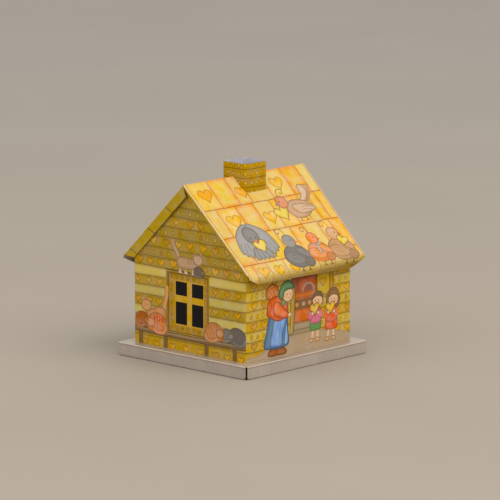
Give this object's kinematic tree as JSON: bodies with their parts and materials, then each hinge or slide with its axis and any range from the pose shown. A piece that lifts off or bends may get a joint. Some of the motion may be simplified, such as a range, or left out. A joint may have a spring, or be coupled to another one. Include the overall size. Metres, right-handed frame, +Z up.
{
  "type": "house-shaped tin money box",
  "caption": "House-shaped money box of printed tinplate: coins drop down the open chimney and are emptied through a swing cover under the base.",
  "frame": {"origin": "centre of the base's footprint, on the plane that it rests on", "axes": "+Z up, the ridge along X, the door wall facing -Y and the window gable facing -X"},
  "size_m": [0.1123, 0.1112, 0.123],
  "materials": {
    "tray_tin": "fine brushed grey-beige coating on tinplate",
    "wall_print": "varnished lithograph, olive yellow planks with hearts",
    "roof_print": "varnished lithograph, warm yellow tiles",
    "chimney_print": "varnished lithograph, gold ochre rows",
    "bare_tin": "bare tinplate",
    "rivet_steel": "plated steel"
  },
  "bodies": {
    "house": {"base_tray": "tray_tin", "wall_wrap": "wall_print", "roof": "roof_print", "chimney": "chimney_print", "trap_rivet": "rivet_steel"},
    "trap": {"trap_cover": "bare_tin"}
  },
  "joints": [
    {"name": "trap_swing", "type": "hinge", "parent": "house", "child": "trap", "pos_m": [0, 0.014, 0.00785], "axis": [0, 0, 1], "range_deg": [0, 92]}
  ]
}
